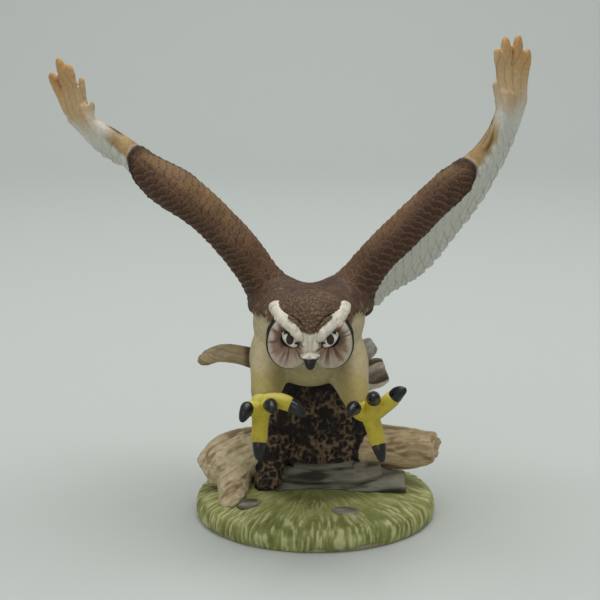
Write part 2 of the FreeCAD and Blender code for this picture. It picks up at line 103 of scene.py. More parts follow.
def cloud(points, scale, seed=0, octaves=3):
    """Noise with finer detail laid over it."""
    total, share, reach = np.zeros(len(points)), 1.0, 0.0
    for octave in range(octaves):
        total += share * noise(points, np.asarray(scale, float) / 2 ** octave, seed + octave)
        reach += share
        share *= 0.5
    return total / reach


def pebbles(points, scale, seed=0):
    """Cells like crackle: the distance from the nearest cell's middle, and from its border."""
    spot = points / np.asarray(scale, float)
    cell = np.floor(spot).astype(np.int64)
    nearest = np.full(len(points), 9.0)
    second = np.full(len(points), 9.0)
    for dx in (-1, 0, 1):
        for dy in (-1, 0, 1):
            for dz in (-1, 0, 1):
                at = cell + np.array([dx, dy, dz])
                middle = at + 0.5 + 0.8 * (np.stack(
                    [dice(at[:, 0], at[:, 1], at[:, 2], seed + k) for k in range(3)], 1) - 0.5)
                gap = np.linalg.norm(middle - spot, axis=1)
                second = np.minimum(second, np.maximum(gap, nearest))
                nearest = np.minimum(nearest, gap)
    return nearest, second - nearest


def scales(along, across, length, width, seed=0, bulge=0.8):
    """Overlapping feathers whose rounded tips point up the along axis, in millimetres.

    Returns the distance back from the tip's edge, the sideways place in the feather (-1 to 1) and
    a random number for each feather.
    """
    row = np.floor(along / length).astype(np.int64)
    edge = np.full(len(along), -1.0)
    side = np.zeros(len(along))
    luck = np.zeros(len(along))
    for back in (2, 1, 0):
        this = row - back
        shift = across / width + 0.5 * (this % 2) + 0.22 * (dice(this, this * 0, this * 0, seed) - 0.5)
        column = np.floor(shift).astype(np.int64)
        place = (shift - column) * 2 - 1
        chance = dice(this, column, column * 0, seed + 5)
        tip = (this + 1 + 0.25 * (chance - 0.5)) * length
        tip = tip + bulge * width * 0.5 * np.sqrt(np.clip(1 - place ** 2, 0, 1))
        covers = (tip > along) & (edge < 0)
        edge = np.where(covers, tip - along, edge)
        side = np.where(covers, place, side)
        luck = np.where(covers, chance, luck)
    return np.maximum(edge, 0), side, luck


def quills(across, width, seed=0):
    """Long feathers lying side by side, each tucked under the next one.

    Returns the rise over each feather (0 to 1), the sideways place (-1 to 1) and a random number.
    """
    column = np.floor(across / width).astype(np.int64)
    share = across / width - column
    return share, share * 2 - 1, dice(column, column * 0, column * 0, seed)


# ------------------------------------------------------------------ clay

class Clay:
    """A piece being modelled: its mesh, and its points, normals and paint as arrays, in mm."""

    def __init__(self, name, mesh, nodes, slot):
        self.name = name
        self.mesh = mesh
        self.nodes = nodes
        self.slot = slot
        count = len(mesh.vertices)
        self.points = np.empty(count * 3)
        mesh.vertices.foreach_get("co", self.points)
        self.points = self.points.reshape(-1, 3)
        self.paint = np.ones((count, 3))
        self.measure()

    def measure(self):
        """Normals of the mesh as it is now."""
        self.mesh.vertices.foreach_set("co", self.points.ravel())
        self.mesh.update()
        normals = np.empty(len(self.points) * 3)
        self.mesh.vertices.foreach_get("normal", normals)
        self.normals = normals.reshape(-1, 3)

    def carve(self, height):
        """Raise (or sink) every point along its normal."""
        self.points = self.points + self.normals * np.asarray(height)[:, None]

    def shift(self, offset):
        self.points = self.points + offset

    def tree(self):
        """What other pieces use to find how far away this one is."""
        self.mesh.vertices.foreach_set("co", self.points.ravel())
        faces = [tuple(face.vertices) for face in self.mesh.polygons]
        return BVHTree.FromPolygons([Vector(point) for point in self.points], faces)


def linked(name, mesh):
    """A new object in the scene that shows the mesh."""
    thing = bpy.data.objects.new(name, mesh)
    bpy.context.scene.collection.objects.link(thing)
    return thing


def fine(mesh, voxel, smoothing):
    """An even mesh over the solids in a mesh, in millimetres."""
    thing = linked("rough", mesh)
    voxels = thing.modifiers.new("voxels", "REMESH")
    voxels.mode = "VOXEL"
    voxels.voxel_size = voxel
    relax = thing.modifiers.new("relax", "SMOOTH")
    relax.factor = 0.5
    relax.iterations = smoothing
    seen = thing.evaluated_get(bpy.context.evaluated_depsgraph_get())
    result = bpy.data.meshes.new_from_object(seen)
    bpy.data.objects.remove(thing)
    bpy.data.meshes.remove(mesh)
    return result


def webbed(mesh, voxel, gap):
    """The same solid with its narrow gaps filled, as clay fills them between feathers."""
    rough = Clay("rough", fine(mesh, voxel, 2), (), "")
    rough.carve(np.full(len(rough.points), gap / 2))
    rough.measure()
    again = Clay("again", fine(rough.mesh, voxel, 4), (), "")
    again.carve(np.full(len(again.points), -gap / 2))
    again.measure()
    return again.mesh


def node_points(*nodes):
    """The CAD nodes' own points, in millimetres."""
    found = []
    for node in nodes:
        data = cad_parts[node].data
        points = np.empty(len(data.vertices) * 3)
        data.vertices.foreach_get("co", points)
        found.append(points.reshape(-1, 3) * MM)
    return np.concatenate(found)


def solids_mesh(*nodes):
    """The CAD nodes' solids in one mesh, in millimetres."""
    work = bmesh.new()
    for node in nodes:
        work.from_mesh(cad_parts[node].data)
    bmesh.ops.scale(work, vec=(MM, MM, MM), verts=work.verts)
    mesh = bpy.data.meshes.new("solids")
    work.to_mesh(mesh)
    work.free()
    return mesh


def skin_mesh(*groups):
    """The outer skins round groups of points: hollow castings lose their inside this way."""
    work = bmesh.new()
    for group in groups:
        added = [work.verts.new(point) for point in group]
        made = bmesh.ops.convex_hull(work, input=added)
        loose = set(made["geom_interior"]) | set(made["geom_unused"])
        bmesh.ops.delete(work, geom=[item for item in loose if isinstance(item, bmesh.types.BMVert)],
                         context="VERTS")
    mesh = bpy.data.meshes.new("skin")
    work.to_mesh(mesh)
    work.free()
    return mesh


def clay(name, slot, nodes, voxel, smoothing=8, mesh=None):
    """A piece of clay made from the CAD nodes' solids, or from the mesh that is given."""
    nodes = (nodes,) if isinstance(nodes, str) else nodes
    return Clay(name, fine(mesh or solids_mesh(*nodes), voxel, smoothing), nodes, slot)


def lute(piece, others, reach):
    """Swell a piece where it meets others, so that the joint between them is a soft fillet."""
    swell = np.zeros(len(piece.points))
    for other in others:
        for index, point in enumerate(piece.points):
            hit = other.find_nearest(Vector(point), reach)
            if hit[0] is not None:
                swell[index] = max(swell[index], (reach - hit[3]) ** 2 / (4 * reach))
    piece.carve(swell)
    piece.measure()


def ball_chain(stops):
    """Balls along a line, each one (x, y, z, radius): the skin round them is a smooth limb."""
    groups = []
    turns = np.linspace(0, 2 * math.pi, 12, endpoint=False)
    for first, second in zip(stops, stops[1:]):
        group = []
        for x, y, z, radius in (first, second):
            for lift in np.linspace(-math.pi / 2, math.pi / 2, 7):
                for turn in turns:
                    group.append((x + radius * math.cos(lift) * math.cos(turn),
                                  y + radius * math.cos(lift) * math.sin(turn), z + radius * math.sin(lift)))
        groups.append(group)
    return groups


# ------------------------------------------------------------------ fired paint

def fired_paint(name, roughness, mottle=0.10, mottle_size=1.6, grain=0.05, coat=0.0, streak=None):
    """Matte fired paint over bisque: painted colour, pigment mottling and the clay's fine grain."""
    material = bpy.data.materials.new(name)
    material.use_nodes = True
    nodes, links = material.node_tree.nodes, material.node_tree.links
    shader = nodes["Principled BSDF"]
    place = nodes.new("ShaderNodeTexCoord")
    paint = nodes.new("ShaderNodeAttribute")
    paint.attribute_name = "paint"
    stretch = nodes.new("ShaderNodeMapping")
    stretch.inputs["Scale"].default_value = streak or (1, 1, 1)
    links.new(place.outputs["Object"], stretch.inputs["Vector"])

    pigment = nodes.new("ShaderNodeTexNoise")
    pigment.inputs["Scale"].default_value = MM / mottle_size
    pigment.inputs["Detail"].default_value = 4
    links.new(stretch.outputs["Vector"], pigment.inputs["Vector"])
    strength = nodes.new("ShaderNodeMapRange")
    strength.inputs["From Min"].default_value = 0.25
    strength.inputs["From Max"].default_value = 0.75
    strength.inputs["To Min"].default_value = 1 - mottle
    strength.inputs["To Max"].default_value = 1 + mottle
    links.new(pigment.outputs["Fac"], strength.inputs["Value"])
    tint = nodes.new("ShaderNodeVectorMath")
    tint.operation = "SCALE"
    links.new(paint.outputs["Color"], tint.inputs[0])
    links.new(strength.outputs["Result"], tint.inputs["Scale"])
    links.new(tint.outputs["Vector"], shader.inputs["Base Color"])

    tooth = nodes.new("ShaderNodeTexNoise")
    tooth.inputs["Scale"].default_value = MM / 0.35
    tooth.inputs["Detail"].default_value = 3
    links.new(place.outputs["Object"], tooth.inputs["Vector"])
    bump = nodes.new("ShaderNodeBump")
    bump.inputs["Strength"].default_value = 0.6
    bump.inputs["Distance"].default_value = grain / MM
    links.new(tooth.outputs["Fac"], bump.inputs["Height"])
    links.new(bump.outputs["Normal"], shader.inputs["Normal"])
    sheen = nodes.new("ShaderNodeMapRange")
    sheen.inputs["From Min"].default_value = 0.3
    sheen.inputs["From Max"].default_value = 0.7
    sheen.inputs["To Min"].default_value = roughness - 0.08
    sheen.inputs["To Max"].default_value = roughness + 0.08
    links.new(tooth.outputs["Fac"], sheen.inputs["Value"])
    links.new(sheen.outputs["Result"], shader.inputs["Roughness"])
    shader.inputs["Specular IOR Level"].default_value = 0.35
    shader.inputs["Coat Weight"].default_value = coat
    shader.inputs["Coat Roughness"].default_value = 0.18
    return material


MATTE = fired_paint("matte_bisque", 0.72)
FEATHER = fired_paint("painted_feather", 0.70, mottle=0.14, mottle_size=1.2, grain=0.06)
WOOD = fired_paint("painted_wood", 0.74, mottle=0.16, mottle_size=1.8, grain=0.08)
STONE = fired_paint("painted_stone", 0.66, mottle=0.20, mottle_size=2.4, grain=0.07,
                    streak=(0.4, 0.6, 1.6))
GRASS = fired_paint("painted_grass", 0.66, mottle=0.14, mottle_size=2.0, grain=0.06)
SKIN = fired_paint("painted_foot", 0.48, mottle=0.08, mottle_size=1.5, grain=0.03)
GLOSS = fired_paint("glossy_claw", 0.30, mottle=0.25, mottle_size=0.8, grain=0.04, coat=0.2)
GLAZE = fired_paint("painted_eye", 0.56, mottle=0.06, mottle_size=0.8, grain=0.02)


def finish_piece(piece, material):
    """Write the clay back in metres, and hand it over in place of its CAD nodes."""
    mesh = piece.mesh
    mesh.vertices.foreach_set("co", (piece.points / MM).ravel())
    mesh.update()
    mesh.polygons.foreach_set("use_smooth", [True] * len(mesh.polygons))
    colours = np.ones((len(piece.points), 4), np.float32)
    colours[:, :3] = np.clip(piece.paint, 0, 1)
    mesh.attributes.new("paint", "FLOAT_COLOR", "POINT").data.foreach_set("color", colours.ravel())
    mesh.materials.clear()
    mesh.materials.append(material)
    thing = linked(piece.name, mesh)
    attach(thing, "root")
    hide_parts(*piece.nodes)
    return thing


# ------------------------------------------------------------------ colours

BROWN = rgb(88, 61, 40)
BROWN_DARK = rgb(36, 22, 14)
BROWN_LIGHT = rgb(134, 100, 72)
TAN = rgb(146, 114, 68)
WHITE = rgb(206, 204, 192)
SHADE = rgb(150, 152, 146)
CREAM = rgb(182, 168, 130)
CREAM_DEEP = rgb(140, 128, 84)
YELLOW = rgb(190, 172, 52)
BLACK = rgb(12, 10, 11)
WHITE_BROW = rgb(214, 206, 188)
MIDDLE = sum(corner.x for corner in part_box("torso")) / 2 * MM


# ------------------------------------------------------------------ wings

class WingLines:
    """A wing's own directions, read from its solid: the rounded leading edge's axis and radius,
    and the trailing edge, as smooth functions of the share of the wing's reach."""

    def __init__(self, points, outward):
        low, high = points.min(0), points.max(0)
        root = np.array([low[0] if outward > 0 else high[0], 0, low[2]])
        tip = np.array([high[0] if outward > 0 else low[0], 0, high[2]])
        self.root = root
        self.span = np.linalg.norm(tip - root)
        self.along = (tip - root) / self.span
        self.outward = outward
        reach = (points - root) @ self.along / self.span
        shares = np.linspace(0.16, 0.9, 38)
        noses, radii, trails = [], [], []
        for share in shares:
            ring = points[np.abs(reach - share) < 0.012]
            nose = ring[ring[:, 1] < ring[:, 1].min() + 0.3].mean(0)
            trail = ring[ring[:, 1] > ring[:, 1].max() - 0.4].mean(0)
            back = (trail - nose) / np.linalg.norm(trail - nose)
            upper = np.cross(self.along, back)
            heights = (ring - nose) @ upper
            radii.append((heights.max() - heights.min()) / 2)
            noses.append(nose)
            trails.append(trail)
        self.radius_fit = np.polyfit(shares, radii, 5)
        self.nose_fit = [np.polyfit(shares, np.array(noses)[:, axis], 6) for axis in range(3)]
        self.trail_fit = [np.polyfit(shares, np.array(trails)[:, axis], 6) for axis in range(3)]
        self.low, self.high = shares[0], shares[-1]

    def place(self, points):
        """Reach (0 to 1), distance along (mm), distance round from the nose (mm, + above), share
        of the blade from roll to trailing edge, the blade's length (mm), and the chord's way."""
        reach = (points - self.root) @ self.along / self.span
        held = np.clip(reach, self.low, self.high)
        radius = np.clip(np.polyval(self.radius_fit, held), 1.2, 9)
        nose = np.stack([np.polyval(fit, held) for fit in self.nose_fit], 1)
        trail = np.stack([np.polyval(fit, held) for fit in self.trail_fit], 1)
        slide = (reach - held)[:, None] * self.span * self.along
        middle = nose + slide + np.outer(radius, (0, 1, 0))
        chord = trail + slide - middle
        length = np.linalg.norm(chord, axis=1)
        back = chord / length[:, None]
        upper = np.cross(self.along, back) * self.outward
        upper /= np.linalg.norm(upper, axis=1)[:, None]
        away = points - middle
        rearward = (away * back).sum(1)
        upward = (away * upper).sum(1)
        turn = np.arctan2(np.abs(upward), np.maximum(-rearward, 1e-6))
        turned = np.where(rearward < 0, radius * turn, radius * math.pi / 2 + rearward)
        return {"reach": reach, "along": reach * self.span, "round": turned * np.sign(upward),
                "share": rearward / length, "length": length, "radius": radius, "back": back,
                "upward": upward, "rearward": rearward}


def make_wing(side, outward):
    """One wing with its finger feathers, from the shoulder to the tips."""
    nodes = ("wing_" + side, "primaries_" + side)
    piece = clay("wing_feathers_" + side, "wing_plumage", nodes, 0.42, 5,
                 webbed(solids_mesh(*nodes), 0.42, 1.8))
    lines = WingLines(piece.points, outward)
    lute(piece, [BODY], 9.0)
    at = lines.place(piece.points)
    reach, around, share = at["reach"], at["round"], at["share"]
    points = piece.points
    cuff = 0.59 if side == "left" else 0.64
    palm_start = 0.73 if side == "left" else 0.725
    hand = ramp(reach, palm_start - 0.03, palm_start + 0.05)
    above = around > 0
    # the brown coverts wrap the roll and stop on the underside and at the wrist, with a painted shadow along
    # that edge
    ragged = 0.012 * noise(points, 3.0, 12) + 0.03 * noise(points, 9.0, 13)
    lobe = ragged + 0.0009 * (around - 1.0) ** 2
    wrist = ramp(reach + lobe, cuff, cuff + 0.02)
    border = -at["radius"] * math.pi / 2 * 1.08 + 0.7 * noise(points, 4.0, 11)
    brown = ramp(around, border - 0.25, border + 0.25) * (1 - wrist)
    cuff_edge = np.exp(-((reach + lobe - cuff + 0.006) / 0.011) ** 2)

    # coverts: scales over the roll and the front of the upper blade
    tilt = 0.35 * np.abs(around)
    wobble = 0.5 * noise(points, 5.0, 14) + 0.7 * noise(points, 11.0, 22)
    edge, place, luck = scales(at["along"] - tilt + wobble, around + 1.1 * noise(points, 7.0, 15), 2.6, 3.3,
                               seed=3)
    scale_height = ((0.42 + 0.3 * luck) * np.exp(-edge / 1.6) * (1 - 0.4 * place ** 2)
                    - 0.30 * bump(edge, 0.26))
    barbs = np.cos(place * 11 + luck * 6)
    # gold paint on the coverts over the top of the roll, which is also a painted highlight where the top
    # edge catches the light
    gold_and_top_highlight = ramp(around, 0.5, 3.5) * ramp(share, 0.35, 0.1) * ramp(reach, 0.10, 0.5)
    gold_and_top_highlight = gold_and_top_highlight * (0.55 + 0.45 * noise(points, 3.5, 16))
    covert = brown * (1 - 0.4 * gold_and_top_highlight)
    upper_blade = ramp(share, 0.42, 0.62) * above * (1 - wrist)

    # flight feathers: quills that run back and outwards to a scalloped trailing edge
    slant = at["along"] + 0.35 * at["rearward"]
    rise, middle, chance = quills(slant, 4.2, seed=7)
    quill_height = 0.55 * rise - 0.30 * bump(rise, 0.07, 1.0)
    blade = np.where(above, upper_blade, 1 - brown) * (1 - hand)
    wave = np.sin(at["rearward"] * 1.3 + 3.5 * middle + 8 * chance)

    # the hand: long grooves between the primaries, running out into the fingers
    _, finger_middle, _ = quills(share * 4.0 + 0.05, 1.0, seed=9)
    groove = np.exp(-((np.abs(finger_middle) - 1) / 0.16) ** 2)
    barb_lines = np.sin(at["along"] * 3.2 + 4 * np.abs(finger_middle))

    height = (covert * (1 - upper_blade) * (scale_height + 0.07 * barbs * np.exp(-edge / 1.5))
              + blade * (quill_height * ramp(share, 0.05, 0.3) + 0.13 * wave * (share > 0.1))
              + hand * (-0.18 * groove * ramp(reach, 0.93, 0.85) + 0.02 * barb_lines)
              + 0.55 * ramp(reach, 0.86, 0.93) + 0.35 * cuff_edge * (1 - wrist)
              + 0.55 * brown * ramp(share, 0.55, 0.1) * (1 - above * 1.0)
              + 0.10 * cloud(points, 2.0, 4))
    piece.carve(height)
    notch = np.abs(middle) ** 4 * 1.9 * ramp(share, 0.86, 1.0) * (1 - hand) * ramp(reach, 0.02, 0.12)
    piece.shift(-at["back"] * notch[:, None])

    # paint
    base = mix(BROWN, BROWN_LIGHT, 0.35 * luck + 0.35 * ramp(noise(points, 8, 2), -0.6, 0.8))
    # painted shade: the brown coverts darken on the lower side of the roll, which faces down
    base = mix(base, 0.7 * BROWN, ramp(around, 0.5, -4.0))
    base = mix(base, mix(TAN, rgb(168, 136, 88), 0.4), 0.9 * gold_and_top_highlight)
    base = mix(base, BROWN_LIGHT, 0.65 * bump(edge, 0.35, 0.75))
    base = mix(base, BROWN_DARK, 0.9 * bump(edge, 0.34) + 0.30 * (barbs > 0.3))
    # painted shadow: a dark band along the coverts' overhanging edge on the underside and at the wrist
    base = mix(base, BROWN_DARK, 0.75 * cuff_edge + 0.6 * ramp(around, border + 1.6, border))
    bars = ramp(np.sin(at["rearward"] * 0.95 + 1.5 * noise(points, 6, 8)), -0.2, 0.5)
    dorsal = mix(mix(BROWN, BROWN_LIGHT, 0.5 * chance), BROWN_DARK, 0.55 * bars)
    dorsal = mix(dorsal, BROWN_DARK, 0.6 * bump(rise, 0.05, 0.98))
    base = mix(base, dorsal, upper_blade)
    under = mix(WHITE, SHADE, 0.7 * bump(rise, 0.08, 0.96) + 0.30 * ramp(wave, 0, 1))
    colour = mix(under, base, brown)
    # the wrist: a smooth tan patch above with dark streaks beyond it, white below
    patch = wrist * ramp(reach, palm_start + 0.06, palm_start) * ramp(
        around + 0.8 * noise(points, 3, 17), -3.6, -1.6)
    colour = mix(colour, mix(TAN, rgb(176, 150, 104), 0.5 + 0.5 * noise(points, 4, 18)), patch)
    drawn = at["along"][:, None] * np.array([0.12, 0, 0]) + np.stack(
        [0 * around, around / 0.9, share * 3], 1)
    streak = ramp(noise(drawn, 1.0, 21), -0.1, 0.25) * ramp(reach, cuff + 0.05, cuff + 0.08)
    streak = streak * ramp(reach, palm_start + 0.05, palm_start) * ramp(around, -2.0, -0.4)
    # the palm: white at its root and trailing edge, through tan to orange at the finger tips
    warm = ramp(reach + 0.03 * noise(points, 6, 19) - 0.06 * ramp(share, 0.5, 1.0), palm_start,
                palm_start + 0.12)
    palm = mix(WHITE, rgb(196, 166, 120), 0.35 * above + 0.95 * warm)
    palm = mix(palm, rgb(194, 152, 98), ramp(reach, 0.85, 0.95))
    palm = mix(palm, rgb(132, 84, 50), 0.30 * groove * warm + 0.12 * ramp(barb_lines, 0.6, 1.0) * warm)
    colour = mix(colour, palm, hand)
    colour = mix(colour, BROWN_DARK, 0.85 * streak)
    piece.paint = colour
    finish_piece(piece, FEATHER)


# ------------------------------------------------------------------ body, mantle and legs

HIP = 78        # heights in mm: the legs leave the body between the hip and the knee
KNEE = 66

def strokes(points, direction, width=0.8, length=5.0, seed=0):
    """Brush strokes: noise drawn out along a direction."""
    direction = np.asarray(direction, float) / np.linalg.norm(direction)
    lengthwise = np.outer(points @ direction, direction)
    return noise((points - lengthwise) / width + lengthwise / length, 1.0, seed)


def settle(piece):
    """The saddle between the shoulders: the clay sinks between the wing roots."""
    level = CAPE_LOW.z * MM + 7
    above = np.maximum(piece.points[:, 2] - level, 0)
    piece.points[:, 2] -= 0.39 * above * np.exp(-((piece.points[:, 0] - MIDDLE) / 12) ** 2)
    piece.measure()


def body_tree():
    """The whole body's skin, which the limbs are joined to."""
    body = clay("body", "", (), 0.9, 16, skin_mesh(node_points("torso"), node_points("mantle")))
    settle(body)
    return body.tree()


def make_mantle():
    """The brown cape: a feathered layer on the back that thins out to nothing at its lower edge."""
    piece = clay("brown_mantle", "brown_plumage", "mantle", 0.5, 24,
                 skin_mesh(node_points("torso"), node_points("mantle")))
    settle(piece)
    roots = [clay("root", "", (), 0.8, 4, solids_mesh("wing_" + side)).tree() for side in ("left", "right")]
    lute(piece, roots, 11.0)
    points = piece.points
    front, back = CAPE_LOW.y * MM, CAPE_HIGH.y * MM
    rearward = np.clip((points[:, 1] - front) / (back - front), 0, 1)
    hem = CAPE_LOW.z * MM + 10 - 8 * rearward + 1.6 * strokes(points, (0, 0.3, 1), 1.4, 9, 41)
    cover = ramp(points[:, 2], hem - 1.2, hem + 2.0)
    edge, _, luck = scales(points[:, 1] + 0.4 * np.abs(points[:, 0] - MIDDLE), points[:, 0],
                           3.4, 3.8, 43)
    piece.carve(cover * (0.34 * np.exp(-edge / 1.8) - 0.2 * bump(edge, 0.3))
                - 2.2 * (1 - cover))
    colour = mix(0.62 * BROWN, BROWN_LIGHT, 0.20 * luck)
    colour = mix(colour, BROWN_DARK, 0.65 * bump(edge, 0.35)
                 + 0.25 * ramp(strokes(points, (0, 1, 0), 0.6, 4, 44), 0.0, 0.5))
    piece.paint = mix(CREAM, colour, ramp(cover + 0.3 * strokes(points, (0, 0.3, 1), 0.7, 5, 45), 0.45, 0.9))
    finish_piece(piece, FEATHER)


def cream_down(piece, strength=1.0):
    """Short soft feather strokes on the breast and legs, and their paint."""
    points = piece.points
    edge, _, _ = scales(-points[:, 2] + 0.3 * points[:, 1], points[:, 0] + 0.4 * points[:, 1],
                        3.2, 2.8, seed=31)
    piece.carve(strength * (0.09 * np.exp(-edge / 1.6) - 0.05 * bump(edge, 0.3))
                + 0.12 * cloud(points, 3.0, 6))
    shade = 0.22 * bump(edge, 0.4) + 0.35 * ramp(cloud(points, 6.0, 9), 0.0, 0.6)
    return mix(CREAM, CREAM_DEEP, shade)


def body_skin(name, slot, nodes):
    """Breast and legs as one skin, so that each of them runs into the other without a seam."""
    legs = [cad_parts["thigh_" + side].data for side in ("left", "right")]
    mesh = skin_mesh(node_points("torso"))
    work = bmesh.new()
    work.from_mesh(mesh)
    before = len(work.verts)
    for leg in legs:
        work.from_mesh(leg)
    work.verts.ensure_lookup_table()
    bmesh.ops.scale(work, vec=(MM, MM, MM), verts=work.verts[before:])
    work.to_mesh(mesh)
    work.free()
    piece = clay(name, slot, nodes, 0.46, 34, mesh)
    settle(piece)
    u = piece.points[:, 0] - MIDDLE
    low = ramp(piece.points[:, 2], HIP, KNEE)
    piece.points[:, 0] -= low * (0.28 * np.maximum(u - 12, 0) + 0.14 * np.minimum(u + 14, 0))
    piece.measure()
    return piece


def make_breast_and_legs():
    """The cream breast and both legs, cut out of one shared skin."""
    breast = body_skin("cream_breast_down", "cream_breast", "torso")
    shin = ramp(breast.points[:, 1], -22.0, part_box("thigh_left")[0].y * MM + 4)
    colour = cream_down(breast)
    # painted shade: the cream darkens where the skin faces downward, under the body
    under = ramp(breast.normals[:, 2], -0.2, -0.9)
    colour = mix(colour, CREAM_DEEP, 0.5 * under)
    breast.paint = mix(colour, rgb(160, 144, 78), 0.8 * shin * ramp(breast.points[:, 2], KNEE, 60))
    breast.measure()
    for side, sign in (("left", 1), ("right", -1)):
        leg = body_skin("leg_down_" + side, "cream_thigh", "thigh_" + side)
        leg.points = breast.points.copy()
        leg.measure()
        leg.paint = breast.paint
        u = (leg.points[:, 0] - MIDDLE) * sign
        own = ramp(u + 0.8 * noise(leg.points, 3, 33), 6.0, 7.5) * ramp(leg.points[:, 2], 70, 67)
        own = own * ramp(leg.points[:, 1], 4, 0)
        leg.carve(0.04 * own - 1.5 * (1 - own))
        finish_piece(leg, MATTE)
    finish_piece(breast, MATTE)


def make_foot(side):
    """A yellow foot with faint bands, and its glossy black claws."""
    piece = clay("scaly_foot_" + side, "yellow_foot", "foot_" + side, 0.28, 6)
    points = piece.points
    bands = np.sin(points @ np.array([0.8, 0.5, 2.6]) * 2.2 + 2 * noise(points, 3.0, 51))
    piece.carve(0.02 * bands + 0.12 * cloud(points, 2.4, 52) + 0.35)
    colour = mix(YELLOW, rgb(150, 128, 28), 0.10 * ramp(bands, 0.0, -1.0) + 0.35 * ramp(
        cloud(points, 3, 53), 0, 0.5))
    # painted highlight: paler yellow on the tops of the toes, where they face up
    piece.paint = mix(colour, rgb(214, 206, 110), 0.5 * ramp(piece.normals[:, 2], 0.2, 0.9))
    finish_piece(piece, SKIN)
    claws = clay("hooked_claws_" + side, "black_claw", "claws_" + side, 0.28, 6)
    claws.carve(0.14 * cloud(claws.points, 1.6, 54) + 0.5)
    claws.paint = mix(BLACK, rgb(36, 31, 28), ramp(cloud(claws.points, 1.8, 55), 0.2, 0.6))
    finish_piece(claws, GLOSS)


def make_tail():
    """The barred tail fan: dark above, pale below, with a notched end."""
    piece = clay("fanned_tail", "tail_plumage", "tail", 0.4, 6)
    lute(piece, [BODY], 4.0)
    points = piece.points
    low, high = [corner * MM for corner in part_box("tail")]
    backward = (points[:, 1] - low.y) / (high.y - low.y)
    sideways = (points[:, 0] - MIDDLE) / (0.7 + 0.6 * backward)
    rise, middle, luck = quills(np.abs(sideways) + 2.0, 4.2, 61)
    shaft = bump(middle, 0.10)
    barbs = np.sin(points[:, 1] * 4 + 7 * np.abs(middle))
    piece.carve(ramp(backward, 0.1, 0.4) * (0.45 * (1 - rise) + 0.12 * shaft + 0.05 * barbs)
                - 0.25 * bump(rise, 0.05, 0.98))
    piece.shift(np.outer(-2.0 * np.abs(middle) ** 3 * ramp(backward, 0.75, 1.0), (0, 1, 0)))
    bars = ramp(np.sin(points[:, 1] * 1.15 + 0.8 * noise(points, 5, 62)), -0.1, 0.3)
    above = ramp(piece.normals[:, 2], -0.1, 0.3)
    dark = mix(mix(BROWN, BROWN_LIGHT, 0.5 * luck), BROWN_DARK, 0.65 * bars)
    pale = mix(WHITE, CREAM_DEEP, 0.6 * bars)
    colour = mix(pale, dark, above)
    piece.paint = mix(colour, BROWN_DARK, 0.6 * bump(rise, 0.05, 0.98))
    finish_piece(piece, FEATHER)


# ------------------------------------------------------------------ head and face

def crackle(points, size, seed):
    """The crown's fine wormy feathering: ridges between winding grooves."""
    warped = points + 0.7 * np.stack([noise(points, 1.6, seed + k) for k in range(3)], 1)
    _, border = pebbles(warped, size, seed + 3)
    return ramp(border, 0.02, 0.45)


# the eye: half its length and half its height in mm, and how far its outer corner is tilted up
EYE_LONG = 3.9
EYE_HIGH = 2.1
EYE_SLANT = math.radians(42)


